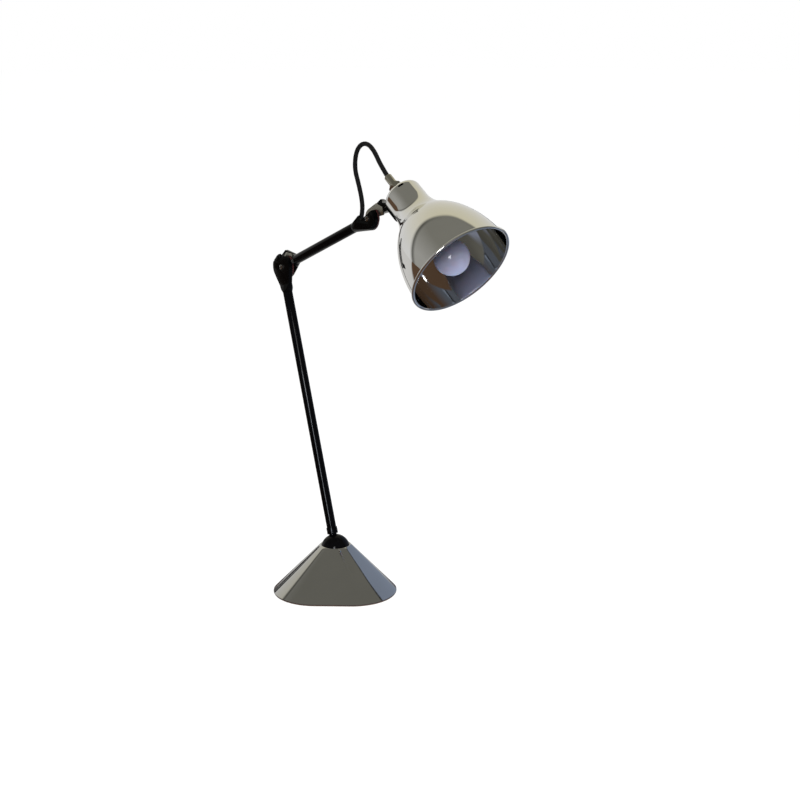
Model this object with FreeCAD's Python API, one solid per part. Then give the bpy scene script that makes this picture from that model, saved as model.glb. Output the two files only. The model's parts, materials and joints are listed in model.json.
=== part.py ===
import FreeCAD, Part
import math
import os

# Architect lamp: chromed three-cornered base, ball joint, two tubular arms with lapped
# friction knuckles, and a chromed bell shade. Millimetres, +Z up, +X towards the shade,
# origin at the middle of the underside of the base. The hinge axes lie along Y.

Vector = FreeCAD.Vector
origin = Vector(0, 0, 0)
along_x = Vector(1, 0, 0)
along_y = Vector(0, 1, 0)
along_z = Vector(0, 0, 1)

# Pose shown: angles in degrees above the horizontal, lengths between pivots
lower_arm_lean = 15.9
lower_arm_length = 404.6
upper_arm_rise = 23.77
upper_arm_length = 209.8
bracket_rise = 15.0
shade_tilt = 37.31
neck_forward = 57.0
neck_above = 37.8

# Base
base_turn = 17.0
corner_distance = 29.0
corner_radius = 61.8
base_wall = 3.0
base_hem = 1.5
felt_thickness = 1.0
felt_inset = 0.8
plate_thickness = 3.0
plate_clearance = 0.4
mouth_land = 1.7
ballast_height = 21.0
ballast_clearance = 1.5
boss_radius = 5.5
boss_reach = 68.0
boss_clearance = 0.5
plate_screw_radius = 2.5
plate_screw_head = 4.6
plate_screw_length = 14.0
hole_clearance = 0.3
same_length = 0.01

# Ball joint
ball_radius = 20.6
ball_height = 58.0
ball_clearance = 0.3
mouth_above_ball = 6.5
stem_radius = 5.45
stem_length = 46.0
collar_radius = 7.7
collar_chamfer = 0.4
collar_start = 21.4
collar_end = 30.5
cup_radius = 15.0
cup_rim_drop = 15.5
cup_floor = 3.0
cup_skirt = 9.0
cup_bore = 8.0
spring_wire = 2.2
spring_radius = 11.5
guide_clearance = 0.35
set_screw_radius = 1.5
set_screw_from_collar_end = 3.6

# Tubes and the lead inside them
tube_radius = 6.75
tube_wall = 1.2
sleeve_clearance = 0.05
lead_radius = 3.0
lead_clearance = 0.1

# Knuckles: a near half and a far half lapped on a fibre washer and a friction plate
elbow_radius = 19.0
elbow_shift = 3.8
elbow_chord_above = 12.3
elbow_chord_rise = 21.0
head_radius = 15.6
knuckle_half_width = 7.6
knuckle_step = 25.0
knuckle_taper = 36.0
plug_length = 12.0
washer_thickness = 2.4
washer_margin = 0.05
fin_tip = (6.5, 22.1)
fin_shoulder = (25.5, 9.2)
head_tongue_above = 4.7
head_chord_turn = 10.8
head_chord_start = 16.5
friction_plate_thickness = 1.5
elbow_plate_radius = 11.9
elbow_plate_tip = (9.4, 18.3)
elbow_plate_shoulder = (20.2, 12.2)
head_plate_radius = 13.4
head_plate_tip = (13.1, 17.4)
head_plate_shoulder = (24.2, 10.6)
pivot_radius = 2.0
pivot_clearance = 0.05
screw_head_radius = 3.4
screw_head_height = 2.6
screw_recess_radius = 4.3
screw_recess_depth = 2.4
screw_slot_width = 1.2
screw_slot_depth = 1.2
nut_across_flats = 7.0
nut_height = 3.2
nut_recess_radius = 6.4
nut_recess_depth = 2.0
spring_washer_radius = 3.6
spring_washer_height = 1.1
screw_past_nut = 0.8

# Cord loop between the upper arm and the shade, X and Z from the head pivot
cord_radius = 3.0
cord_bend_share = 0.45
outlet_wall = 1.4
outlet_depth = 7.0
outlet_lip = 0.8
cord_route = [
    (-24.6, 3.0, -5.6),
    (-20.6, 3.0, 6.5),
    (-21.0, 2.6, 22.0),
    (-26.4, 1.6, 42.0),
    (-33.6, 0.8, 62.0),
    (-30.2, 0.3, 83.0),
    (-19.4, 0.0, 94.6),
    (-5.0, 0.0, 95.6),
    (7.6, 0.0, 86.2),
]
cord_rise_above_gland = 19.9
cord_sway_above_gland = 2.7

# Shade, measured from the top of its neck along its axis
neck_radius = 25.0
neck_edge = 8.0
shade_length = 141.5
shade_wall = 1.0
mouth_radius = 67.8
bell_past_mouth = 5.6
bell_start = 39.1
neck_fillet = 45.0
rim_bead = 1.8
bead_past_wall = 1.3
vent_count = 4
vent_distance = 22.0
vent_length = 8.0
vent_width = 3.0
vent_depth = 6.4
vent_turn = 123.0

# Bracket stub and saddle on the neck
bracket_tongue_radius = 11.5
stub_top_start = (15.7, 25.9)
stub_top_end = (30.0, 23.4)
stub_bottom_start = (10.0, 4.8)
stub_bottom_end = (36.0, 12.0)
stub_rise = (45.0, 16.0)
saddle_thickness = 1.8
saddle_start = 2.0
saddle_end = 27.0
saddle_corner = 5.0
saddle_spread = 44.0
saddle_gap = 0.1
saddle_screw_radius = 1.5
saddle_screw_places = (11.5, 21.0)
saddle_screw_head = 2.6
saddle_screw_head_height = 1.8

# Fittings through the neck
nipple_radius = 5.0
nipple_bore = 3.4
nut_flats = 17.0
nut_thickness = 12.0
nut_chamfer = 1.2
gland_radius = 5.2
gland_collar_radius = 6.6
gland_collar_height = 3.0
gland_length = 30.0
lead_recess = 0.9
lamp_washer_radius = 11.0
lamp_washer_thickness = 1.5

# Lampholder and globe bulb
holder_start = 14.0
holder_from_bulb = 2.7
holder_radius = 14.0
holder_cap_radius = 12.0
holder_cap_length = 18.0
holder_skirt_radius = 15.2
holder_skirt_length = 14.0
bulb_from_mouth = 21.8
bulb_radius = 23.0
bulb_neck_radius = 9.0
bulb_neck_length = 14.0
bulb_neck_blend = 9.0
bulb_cap_radius = 6.8
bulb_cap_length = 22.0
bulb_contact_radius = 3.0
bulb_contact_height = 2.0

# Inlet for the mains lead and the terminal block inside
inlet_turn = 197.0
inlet_height = 17.0
inlet_bore = 3.6
inlet_radius = 5.6
inlet_flange_radius = 7.6
inlet_flange = 1.6
terminal_size = (26.0, 14.0, 11.0)
terminal_place = (0.0, 39.0)
terminal_gap = 0.6
terminal_screws = 3
terminal_bore = 2.2


def rod(radius, start, direction, length):
    return Part.makeCylinder(radius, length, start, direction)


def ring(outer, inner, start, direction, length):
    return rod(outer, start, direction, length).cut(rod(inner, start, direction, length))


def hexagon(across_flats, start, length):
    corner = across_flats / math.sqrt(3)
    points = []
    for step in range(7):
        angle = math.radians(60 * step)
        points.append(start + Vector(corner * math.cos(angle), corner * math.sin(angle), 0))
    return Part.Face(Part.makePolygon(points)).extrude(Vector(0, 0, length))


def prism(points, low, high):
    corners = [Vector(x, low, z) for x, z in points]
    corners.append(corners[0])
    return Part.Face(Part.makePolygon(corners)).extrude(Vector(0, high - low, 0))


def lean_in_plane(shape, rise, place):
    turned = shape.copy()
    turned.rotate(origin, along_y, -rise)
    turned.translate(place)
    return turned


def direction_at(rise):
    angle = math.radians(rise)
    return Vector(math.cos(angle), 0, math.sin(angle))


def save(name, shape):
    shape.exportStep("parts/" + name + ".step")


# Pivots and frames
ball_centre = Vector(0, 0, ball_height)
lower_axis = direction_at(90 + lower_arm_lean)
elbow_pivot = ball_centre + lower_axis * lower_arm_length
upper_axis = direction_at(upper_arm_rise)
head_pivot = elbow_pivot + upper_axis * upper_arm_length
neck_top = head_pivot + Vector(neck_forward, 0, neck_above)
shade_axis = direction_at(-shade_tilt)
mouth_height = ball_height + mouth_above_ball
lap_near = -washer_thickness / 2
lap_far = washer_thickness / 2 + friction_plate_thickness
tube_bore = tube_radius - tube_wall
far_away = 200.0
lead_bore = lead_radius + lead_clearance


def on_lower_arm(shape):
    return lean_in_plane(shape, 90 + lower_arm_lean, ball_centre)


def on_shade(shape):
    turned = shape.copy()
    turned.rotate(origin, along_y, 90 + shade_tilt)
    turned.translate(neck_top)
    return turned


def at_elbow(shape):
    return lean_in_plane(shape, upper_arm_rise, elbow_pivot)


def on_elbow_pivot(shape):
    return at_elbow(shape.translated(along_y * elbow_shift))


def at_head(shape):
    return lean_in_plane(shape, bracket_rise, head_pivot)


def corner_point(angle, reach, spread, height):
    middle = math.radians(angle)
    edge = math.radians(angle + spread)
    x = reach[0] * math.cos(middle) + reach[1] * math.cos(edge)
    y = reach[0] * math.sin(middle) + reach[1] * math.sin(edge)
    return Vector(x, y, height)


def tapered_triangle(distance, radius, low, top_radius, high):
    # Flat three-cornered facets and oblique cones at the corners, from a rounded
    # triangle at the foot to a circle at the top
    faces = []
    foot_edges = []
    top_edges = []
    for corner in range(3):
        angle = base_turn + 120 * corner
        foot = [corner_point(angle, (distance, radius), spread, low) for spread in (-60, 0, 60)]
        top = [corner_point(angle, (0, top_radius), spread, high) for spread in (-60, 0, 60)]
        foot_arc = Part.Arc(*foot).toShape()
        top_arc = Part.Arc(*top).toShape()
        faces.append(Part.makeRuledSurface(foot_arc, top_arc))
        following = corner_point(angle + 120, (distance, radius), -60, low)
        faces.append(Part.Face(Part.makePolygon([foot[2], following, top[2], foot[2]])))
        foot_edges.append(foot_arc)
        foot_edges.append(Part.makeLine(foot[2], following))
        top_edges.append(top_arc)
    faces.append(Part.Face(Part.Wire(foot_edges)))
    faces.append(Part.Face(Part.Wire(top_edges)))
    shell = Part.Shell(faces)
    shell.sewShape()
    solid = Part.Solid(shell)
    if solid.Volume < 0:
        solid.reverse()
    return solid


def rounded_triangle(distance, radius, low, high):
    edges = []
    for corner in range(3):
        angle = base_turn + 120 * corner
        foot = [corner_point(angle, (distance, radius), spread, low) for spread in (-60, 0, 60)]
        edges.append(Part.Arc(*foot).toShape())
        edges.append(Part.makeLine(foot[2], corner_point(angle + 120, (distance, radius), -60, low)))
    return Part.Face(Part.Wire(edges)).extrude(Vector(0, 0, high - low))


def boss_places():
    places = []
    for corner in range(3):
        angle = math.radians(base_turn + 120 * corner)
        places.append(Vector(boss_reach * math.cos(angle), boss_reach * math.sin(angle), 0))
    return places


# Base levels
shell_foot = felt_thickness
hem_top = shell_foot + base_hem
plate_top = shell_foot + plate_thickness
mouth_radius_inside = math.sqrt((ball_radius + ball_clearance) ** 2 - mouth_above_ball ** 2)
mouth_radius_outside = mouth_radius_inside + mouth_land
flat_reach = corner_distance / 2 + corner_radius
slope = math.atan2(mouth_height - hem_top, flat_reach - mouth_radius_outside)
wall_across = base_wall / math.sin(slope)
inlet_angle = math.radians(inlet_turn)
inlet_axis = Vector(math.cos(inlet_angle), math.sin(inlet_angle), 0)
inlet_reach = flat_reach - (inlet_height - hem_top) / math.tan(slope)


def inside_of_shell(extra):
    across = wall_across + extra / math.sin(slope)
    return tapered_triangle(corner_distance, corner_radius - across, hem_top,
                            mouth_radius_outside - across, mouth_height)


def base_shell():
    outside = tapered_triangle(corner_distance, corner_radius, hem_top, mouth_radius_outside, mouth_height)
    outside = outside.fuse(rounded_triangle(corner_distance, corner_radius, shell_foot, hem_top))
    hollow = inside_of_shell(0)
    bosses = []
    for place in boss_places():
        bosses.append(rod(boss_radius, place + along_z * plate_top, along_z, mouth_height))
    hollow = hollow.cut(bosses)
    shell = outside.cut(hollow)
    shell = shell.cut(rounded_triangle(corner_distance, corner_radius - base_wall, shell_foot, plate_top))
    shell = shell.cut(Part.makeSphere(ball_radius + ball_clearance, ball_centre))
    for place in boss_places():
        shell = shell.cut(rod(plate_screw_radius, place + along_z * plate_top, along_z, plate_screw_length))
    hole = rod(inlet_radius, Vector(0, 0, inlet_height) + inlet_axis * (inlet_reach / 2),
               inlet_axis, inlet_reach)
    return shell.cut(hole).removeSplitter()


def base_plate():
    plate = rounded_triangle(corner_distance, corner_radius - base_wall - plate_clearance,
                             shell_foot, plate_top)
    for place in boss_places():
        plate = plate.cut(rod(plate_screw_radius + hole_clearance, place, along_z, plate_top))
        sink = Part.makeCone(plate_screw_head + hole_clearance, plate_screw_radius + hole_clearance,
                             plate_screw_head - plate_screw_radius, place + along_z * shell_foot, along_z)
        plate = plate.cut(sink)
    return plate


def plate_screws():
    screws = []
    for place in boss_places():
        foot = place + along_z * shell_foot
        head = Part.makeCone(plate_screw_head, plate_screw_radius,
                             plate_screw_head - plate_screw_radius, foot, along_z)
        screw = head.fuse(rod(plate_screw_radius, foot, along_z, plate_screw_length)).removeSplitter()
        screws.append(screw)
    return Part.makeCompound(screws)


def base_felt():
    return rounded_triangle(corner_distance, corner_radius - felt_inset, 0, felt_thickness)


def base_ballast():
    weight = inside_of_shell(ballast_clearance)
    top = plate_top + ballast_height
    keep = rounded_triangle(corner_distance, corner_radius - base_wall - ballast_clearance, plate_top, top)
    weight = weight.common(keep)
    for place in boss_places():
        weight = weight.cut(rod(boss_radius + boss_clearance, place, along_z, mouth_height))
    well_radius = spring_radius + spring_wire / 2 + guide_clearance
    weight = weight.cut(rod(well_radius, along_z * (plate_top + base_wall), along_z, mouth_height))
    weight = weight.cut(rod(cup_bore, origin, along_z, mouth_height))
    length, width, height = terminal_size
    room = Part.makeBox(length + 2 * terminal_gap, width + 2 * terminal_gap, mouth_height,
                        Vector(terminal_place[0] - length / 2 - terminal_gap,
                               terminal_place[1] - width / 2 - terminal_gap, plate_top))
    weight = weight.cut(room)
    channel = inlet_flange_radius + inlet_flange
    run = inlet_reach + channel
    path = rod(channel, Vector(0, 0, inlet_height), inlet_axis, run)
    trough = Part.makeBox(run, 2 * channel, mouth_height, Vector(0, -channel, inlet_height))
    trough.rotate(origin, along_z, inlet_turn)
    path = path.fuse(trough)
    return weight.cut(path).removeSplitter()


def terminal_block():
    length, width, height = terminal_size
    block = Part.makeBox(length, width, height,
                         Vector(terminal_place[0] - length / 2, terminal_place[1] - width / 2, plate_top))
    pitch = length / terminal_screws
    for number in range(terminal_screws):
        across = terminal_place[0] - length / 2 + pitch * (number + 0.5)
        bore = rod(terminal_bore, Vector(across, terminal_place[1] - width, plate_top + height / 2),
                   along_y, 2 * width)
        well = rod(terminal_bore, Vector(across, terminal_place[1], plate_top + height / 2),
                   along_z, height)
        block = block.cut(bore).cut(well)
    return block


def inlet_grommet():
    # Two flanges grip the sloping wall between them
    out = Vector(math.cos(inlet_angle) * math.sin(slope), math.sin(inlet_angle) * math.sin(slope),
                 math.cos(slope))
    face = inlet_axis * inlet_reach + along_z * inlet_height
    outer = rod(inlet_flange_radius, face, out, inlet_flange)
    inner = rod(inlet_flange_radius, face - out * (base_wall + inlet_flange), out, inlet_flange)
    body = rod(inlet_radius - hole_clearance, Vector(0, 0, inlet_height) + inlet_axis * (inlet_reach / 2),
               inlet_axis, inlet_reach)
    wall = rod(inlet_flange_radius, face - out * base_wall, out, base_wall)
    grommet = outer.fuse(inner).fuse(body.common(wall))
    bore = rod(inlet_bore, Vector(0, 0, inlet_height), inlet_axis, inlet_reach * 2)
    return grommet.cut(bore).removeSplitter()


# Spring and cup under the ball
cup_top = ball_height - cup_rim_drop
cup_bottom = ball_height - ball_radius - ball_clearance - cup_floor
spring_foot = plate_top + base_wall


def pressure_cup():
    cup = rod(cup_radius, along_z * cup_bottom, along_z, cup_top - cup_bottom)
    skirt_radius = spring_radius - spring_wire / 2 - guide_clearance
    cup = cup.fuse(rod(skirt_radius, along_z * (cup_bottom - cup_skirt), along_z, cup_skirt))
    cup = cup.cut(Part.makeSphere(ball_radius + ball_clearance, ball_centre))
    return cup.cut(rod(cup_bore, origin, along_z, mouth_height)).removeSplitter()


def pressure_spring():
    return ring(spring_radius + spring_wire / 2, spring_radius - spring_wire / 2,
                along_z * spring_foot, along_z, cup_bottom - spring_foot)


def ball():
    body = Part.makeSphere(ball_radius)
    body = body.fuse(rod(stem_radius, origin, along_x, stem_length))
    body = body.cut(rod(lead_bore, origin, along_x, stem_length))
    funnel = Part.makeCone(lead_bore, cup_bore, ball_radius, origin, along_x * -1)
    return on_lower_arm(body.cut(funnel).removeSplitter())


def collar():
    sleeve = ring(collar_radius, tube_radius + sleeve_clearance, along_x * collar_start, along_x,
                  collar_end - collar_start)
    edges = [edge for edge in sleeve.Edges if edge.BoundBox.XLength < same_length and
             abs(edge.BoundBox.ZLength - 2 * collar_radius) < same_length]
    sleeve = sleeve.makeChamfer(collar_chamfer, edges)
    sleeve = sleeve.cut(set_screw_hole(set_screw_radius + sleeve_clearance))
    return on_lower_arm(sleeve)


def set_screw_hole(radius):
    start = Vector(collar_end - set_screw_from_collar_end, 0, 0)
    return rod(radius, start, along_y * -1, collar_radius * 2)


def set_screw():
    start = Vector(collar_end - set_screw_from_collar_end, -tube_bore, 0)
    screw = rod(set_screw_radius, start, along_y * -1, collar_radius - tube_bore)
    socket = rod(set_screw_radius / 2, start + along_y * (set_screw_radius - collar_radius + tube_bore),
                 along_y * -1, collar_radius)
    return on_lower_arm(screw.cut(socket))


def arm_tube(start, end):
    return ring(tube_radius, tube_bore, along_x * start, along_x, end - start)


def lower_tube():
    tube = arm_tube(collar_start, lower_arm_length - knuckle_taper)
    return on_lower_arm(tube.cut(set_screw_hole(set_screw_radius + sleeve_clearance)))


def upper_tube():
    return at_elbow(arm_tube(knuckle_taper, upper_arm_length - knuckle_taper))


def lower_lead():
    lead = rod(lead_radius, along_x * stem_length, along_x,
               lower_arm_length - knuckle_step - stem_length)
    return on_lower_arm(lead)


def upper_lead():
    lead = rod(lead_radius, along_x * knuckle_step, along_x,
               upper_arm_length - knuckle_step - knuckle_taper)
    return at_elbow(lead)


# Knuckle forms, with the pivot at the origin and the arm along +X
def spindle(radius, shift):
    # A ball on the pivot that runs down a tangent cone to the tube, and a plug inside the tube
    reach = math.hypot(knuckle_taper, tube_radius)
    fall = math.asin(radius / reach) - math.atan2(tube_radius, knuckle_taper)
    tangent = Vector(radius * math.sin(fall), 0, radius * math.cos(fall))
    crown = Vector(-radius * math.sqrt(0.5), 0, radius * math.sqrt(0.5))
    start = Vector(-radius, 0, 0)
    taper_end = Vector(knuckle_taper, 0, tube_radius)
    foot = Vector(knuckle_taper, 0, 0)
    edges = [
        Part.Arc(start, crown, tangent).toShape(),
        Part.makeLine(tangent, taper_end),
        Part.makeLine(taper_end, foot),
        Part.makeLine(foot, start),
    ]
    body = Part.Face(Part.Wire(edges)).revolve(origin, along_x, 360)
    plug = rod(tube_bore - sleeve_clearance, foot, along_x, plug_length)
    body = body.common(slab(-knuckle_half_width, knuckle_half_width + shift)).fuse(plug)
    return body.cut(rod(lead_bore, along_x * knuckle_step, along_x, knuckle_taper))


def slab(low, high):
    return Part.makeBox(2 * far_away, high - low, 2 * far_away, Vector(-far_away, low, -far_away))


def lap_room(face, side):
    # Room for the other half: all that lies past the lap face, up to a wall that slants
    # out to the end of the taper
    places = [(-far_away, face), (knuckle_step, face), (knuckle_taper, side * knuckle_half_width),
              (knuckle_taper, side * far_away), (-far_away, side * far_away), (-far_away, face)]
    corners = [Vector(x, y, -far_away) for x, y in places]
    return Part.Face(Part.makePolygon(corners)).extrude(along_z * (2 * far_away))


def pivot_bore(body):
    return body.cut(rod(pivot_radius + pivot_clearance, along_y * -far_away, along_y, 2 * far_away))


def near_half(radius, shift):
    # The shift moves the faces of the knuckle along its pivot, away from the line of the arm
    face = shift - knuckle_half_width
    body = spindle(radius, shift).cut(lap_room(lap_near + shift, 1)).cut(lap_room(face, -1))
    recess = rod(screw_recess_radius, along_y * face, along_y, screw_recess_depth)
    return pivot_bore(body.cut(recess))


def upper_touch(tip, radius):
    # Where the line from the tip meets a circle on the pivot, as a tangent to its upper side
    angle = math.atan2(tip[1], tip[0]) + math.acos(radius / math.hypot(*tip))
    return (radius * math.cos(angle), radius * math.sin(angle))


def nut_recess():
    return rod(nut_recess_radius, along_y * knuckle_half_width, along_y * -1, nut_recess_depth)


def far_half():
    face = lap_far + elbow_shift
    body = spindle(elbow_radius, elbow_shift).cut(lap_room(face, -1))
    outline = [(0, 0), upper_touch(fin_tip, elbow_radius), fin_tip, fin_shoulder, (fin_shoulder[0], lead_bore)]
    fin = prism(outline, face, knuckle_half_width + elbow_shift)
    bore = rod(lead_bore, along_x * knuckle_step, along_x, knuckle_taper)
    sink = nut_recess().translated(along_y * elbow_shift)
    return pivot_bore(body.fuse(fin.cut(bore)).cut(sink)).removeSplitter()


def friction_plate(radius, tip, shoulder):
    low = washer_thickness / 2
    disc = rod(radius, along_y * low, along_y, friction_plate_thickness)
    corners = [(0, 0), upper_touch(tip, radius), tip, shoulder, (shoulder[0], 0)]
    plate = disc.fuse(prism(corners, low, low + friction_plate_thickness)).removeSplitter()
    return pivot_bore(plate)


def fibre_washer(radius):
    return pivot_bore(rod(radius - washer_margin, along_y * lap_near, along_y, washer_thickness))


screw_seat = -knuckle_half_width + screw_recess_depth
nut_seat = knuckle_half_width - nut_recess_depth + spring_washer_height


def pivot_screw():
    head = rod(screw_head_radius, along_y * (screw_seat - screw_head_height), along_y, screw_head_height)
    slot = Part.makeBox(2 * screw_head_radius, screw_slot_depth, screw_slot_width,
                        Vector(-screw_head_radius, screw_seat - screw_head_height, -screw_slot_width / 2))
    shank_length = nut_seat + nut_height + screw_past_nut - screw_seat
    shank = rod(pivot_radius, along_y * screw_seat, along_y, shank_length)
    return head.cut(slot).fuse(shank).removeSplitter()


def pivot_nut():
    nut = hexagon(nut_across_flats, origin, nut_height)
    nut.rotate(origin, along_x, -90)
    nut.translate(along_y * nut_seat)
    return nut.cut(rod(pivot_radius, origin, along_y, far_away))


def spring_washer():
    low = nut_seat - spring_washer_height
    return ring(spring_washer_radius, pivot_radius + pivot_clearance, along_y * low, along_y,
                spring_washer_height)


# Cord loop
def rounded_path(points):
    # Straight runs joined by the largest tangent arcs that the runs allow
    edges = []
    radii = []
    start = points[0]
    for number in range(1, len(points) - 1):
        before, here, after = points[number - 1:number + 2]
        arrive = (here - before)
        leave = (after - here)
        half_turn = arrive.getAngle(leave) / 2
        reach = cord_bend_share * min(arrive.Length, leave.Length)
        radius = reach / math.tan(half_turn)
        radii.append(radius)
        arrive.normalize()
        leave.normalize()
        bend_start = here - arrive * reach
        bend_end = here + leave * reach
        inward = leave - arrive
        inward.normalize()
        middle = here + inward * (radius / math.cos(half_turn) - radius)
        edges.append(Part.LineSegment(start, bend_start).toShape())
        edges.append(Part.Arc(bend_start, middle, bend_end).toShape())
        start = bend_end
    edges.append(Part.LineSegment(start, points[-1]).toShape())
    return Part.Wire(edges), radii


gland_top = neck_top - shade_axis * gland_length


def cord_points():
    points = [head_pivot + Vector(*place) for place in cord_route]
    across = Vector(-shade_axis.z, 0, shade_axis.x)
    points.append(gland_top - shade_axis * cord_rise_above_gland + across * cord_sway_above_gland)
    points.append(gland_top)
    return points


def cord_loop():
    path, radii = rounded_path(cord_points())
    first = path.Edges[0]
    start = first.valueAt(first.FirstParameter)
    heading = first.tangentAt(first.FirstParameter)
    section = Part.Wire([Part.makeCircle(cord_radius, start, heading)])
    tube = path.makePipeShell([section], True, False)
    expected = math.pi * cord_radius ** 2 * path.Length
    print("cord radii", [round(radius, 1) for radius in radii])
    print("cord length", round(path.Length, 2), "volume ratio", round(tube.Volume / expected, 4))
    return tube


def cord_outlet_frame():
    points = cord_points()
    heading = points[1] - points[0]
    heading.normalize()
    return points[0], heading


def cord_outlet():
    place, heading = cord_outlet_frame()
    start = place - heading * outlet_depth
    sleeve = rod(cord_radius + outlet_wall, start, heading, outlet_depth)
    return sleeve.cut(rod(cord_radius - outlet_lip, start, heading, outlet_depth))


def open_above(body):
    # At the head the near tongue and its washer stop just above the pivot, and the bright
    # plate shows over them. Their own +Z points down there, so the cut is on the -Z side.
    room = Part.makeBox(far_away + head_chord_start, 2 * far_away, far_away,
                        Vector(-far_away, -far_away, -far_away - head_tongue_above))
    return body.cut(lean_in_plane(room, head_chord_turn, origin))


def under_elbow_chord(body):
    # The near half and the washer stop at a chord over the pivot, and the bright plate shows above it
    room = Part.makeBox(2 * far_away, 2 * far_away, far_away,
                        Vector(-far_away, -far_away, elbow_chord_above))
    return body.cut(lean_in_plane(room, elbow_chord_rise, elbow_pivot))


def lower_knuckle():
    casting = lean_in_plane(near_half(elbow_radius, elbow_shift), lower_arm_lean - 90, elbow_pivot)
    return under_elbow_chord(casting)


def at_arm_end(shape):
    return lean_in_plane(shape, 180 + upper_arm_rise, head_pivot)


def head_near_half():
    casting = at_arm_end(open_above(near_half(head_radius, 0)))
    place, heading = cord_outlet_frame()
    room = rod(cord_radius + outlet_wall + sleeve_clearance, place - heading * outlet_depth, heading,
               2 * outlet_depth)
    return casting.cut(room).removeSplitter()


# Shade and what hangs from its neck
bell_centre = shade_length + bell_past_mouth
bell_length = bell_centre - bell_start


def shade_profile(wall):
    length = bell_length - wall
    widest = mouth_radius - wall
    neck = neck_radius - wall
    edge = neck_edge - wall
    ellipse = Part.Ellipse(Vector(0, 0, bell_centre - length), Vector(widest, 0, bell_centre),
                           Vector(0, 0, bell_centre))
    meet = bell_centre - length * math.sqrt(1 - (neck / widest) ** 2)
    first = ellipse.parameter(Vector(neck, 0, meet))
    rim = Vector(widest * math.sqrt(1 - ((bell_centre - shade_length) / length) ** 2), 0, shade_length)
    last = ellipse.parameter(rim)
    bell = Part.ArcOfEllipse(ellipse, first, last).toShape()
    turn = edge * (1 - math.sqrt(0.5))
    edges = [
        Part.makeLine(Vector(0, 0, wall), Vector(neck - edge, 0, wall)),
        Part.Arc(Vector(neck - edge, 0, wall), Vector(neck - turn, 0, wall + turn),
                 Vector(neck, 0, wall + edge)).toShape(),
        Part.makeLine(Vector(neck, 0, wall + edge), Vector(neck, 0, meet)),
        bell,
        Part.makeLine(rim, Vector(0, 0, shade_length)),
        Part.makeLine(Vector(0, 0, shade_length), Vector(0, 0, wall)),
    ]
    body = Part.Face(Part.Wire(Part.__sortEdges__(edges))).revolve(origin, along_z, 360)
    waist = [edge for edge in body.Edges if edge.Curve.TypeId == "Part::GeomCircle" and
             abs(edge.Curve.Radius - neck) < same_length and
             abs(edge.Curve.Center.z - meet) < same_length]
    return body.makeFillet(neck_fillet + wall, waist)


def vent_slots():
    slots = []
    for number in range(vent_count):
        half = (vent_length - vent_width) / 2
        slot = Part.makeBox(2 * half, vent_width, vent_depth, Vector(-half, -vent_width / 2, 0))
        for side in (-1, 1):
            slot = slot.fuse(rod(vent_width / 2, Vector(side * half, 0, 0), along_z, vent_depth))
        slot.translate(Vector(0, vent_distance, 0))
        slot.rotate(origin, along_z, vent_turn + 360 / vent_count * number)
        slots.append(slot)
    return slots


def saddle_screw_axes(shape_radius):
    axes = []
    for place in saddle_screw_places:
        axes.append(rod(shape_radius, along_z * place, along_x, 2 * neck_radius))
    return axes


def shade():
    body = shade_profile(0).cut(shade_profile(shade_wall))
    bead = Part.makeTorus(mouth_radius + bead_past_wall, rim_bead, Vector(0, 0, shade_length - rim_bead / 2))
    body = body.fuse(bead)
    body = body.cut(rod(nipple_radius + hole_clearance, Vector(0, 0, -neck_edge), along_z, 2 * neck_edge))
    body = body.cut(vent_slots())
    body = body.cut(saddle_screw_axes(saddle_screw_radius + sleeve_clearance))
    return on_shade(body.removeSplitter())


# In the shade's own frame the saddle lies on the +X side of the neck
def saddle():
    inner = neck_radius + saddle_gap
    span = ring(inner + saddle_thickness, inner, along_z * saddle_start, along_z, saddle_end - saddle_start)
    reach = 2 * mouth_radius
    across = reach * math.tan(math.radians(saddle_spread))
    corners = [origin, Vector(reach, across, 0), Vector(reach, -across, 0), origin]
    wedge = Part.Face(Part.makePolygon(corners)).extrude(along_z * shade_length)
    plate = span.common(wedge)
    upright = [edge for edge in plate.Edges if edge.BoundBox.ZLength < same_length and
               edge.BoundBox.DiagonalLength < 2 * saddle_thickness]
    return plate.makeFillet(saddle_corner, upright).cut(shade_profile(0))


def saddle_screws():
    inside = math.sqrt((neck_radius - shade_wall) ** 2 - saddle_screw_head ** 2)
    length = neck_radius + saddle_gap + saddle_thickness - inside + saddle_screw_head_height
    screws = []
    for place in saddle_screw_places:
        start = Vector(inside - saddle_screw_head_height, 0, place)
        head = rod(saddle_screw_head, start, along_x, saddle_screw_head_height)
        screws.append(head.fuse(rod(saddle_screw_radius, start, along_x, length)).removeSplitter())
    return on_shade(Part.makeCompound(screws))


def head_bracket():
    tongue = Part.makeSphere(bracket_tongue_radius).common(slab(lap_far, knuckle_half_width))
    outline = [(0, 0), upper_touch(stub_top_start, bracket_tongue_radius), stub_top_start, stub_top_end,
               (neck_forward, stub_top_end[1]), (neck_forward, stub_rise[1]), stub_rise,
               stub_bottom_end, stub_bottom_start]
    stub = prism(outline, -knuckle_half_width, knuckle_half_width)
    stub.rotate(origin, along_y, bracket_rise)
    stub = stub.cut(lap_room(lap_far, -1))
    bracket = at_head(pivot_bore(tongue.fuse(stub).cut(nut_recess())))
    neck = rod(neck_radius + saddle_gap, along_z * -shade_length, along_z, 2 * shade_length)
    bracket = bracket.cut(on_shade(neck)).fuse(on_shade(saddle())).removeSplitter()
    holes = Part.makeCompound(saddle_screw_axes(saddle_screw_radius))
    return bracket.cut(on_shade(holes))


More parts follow.
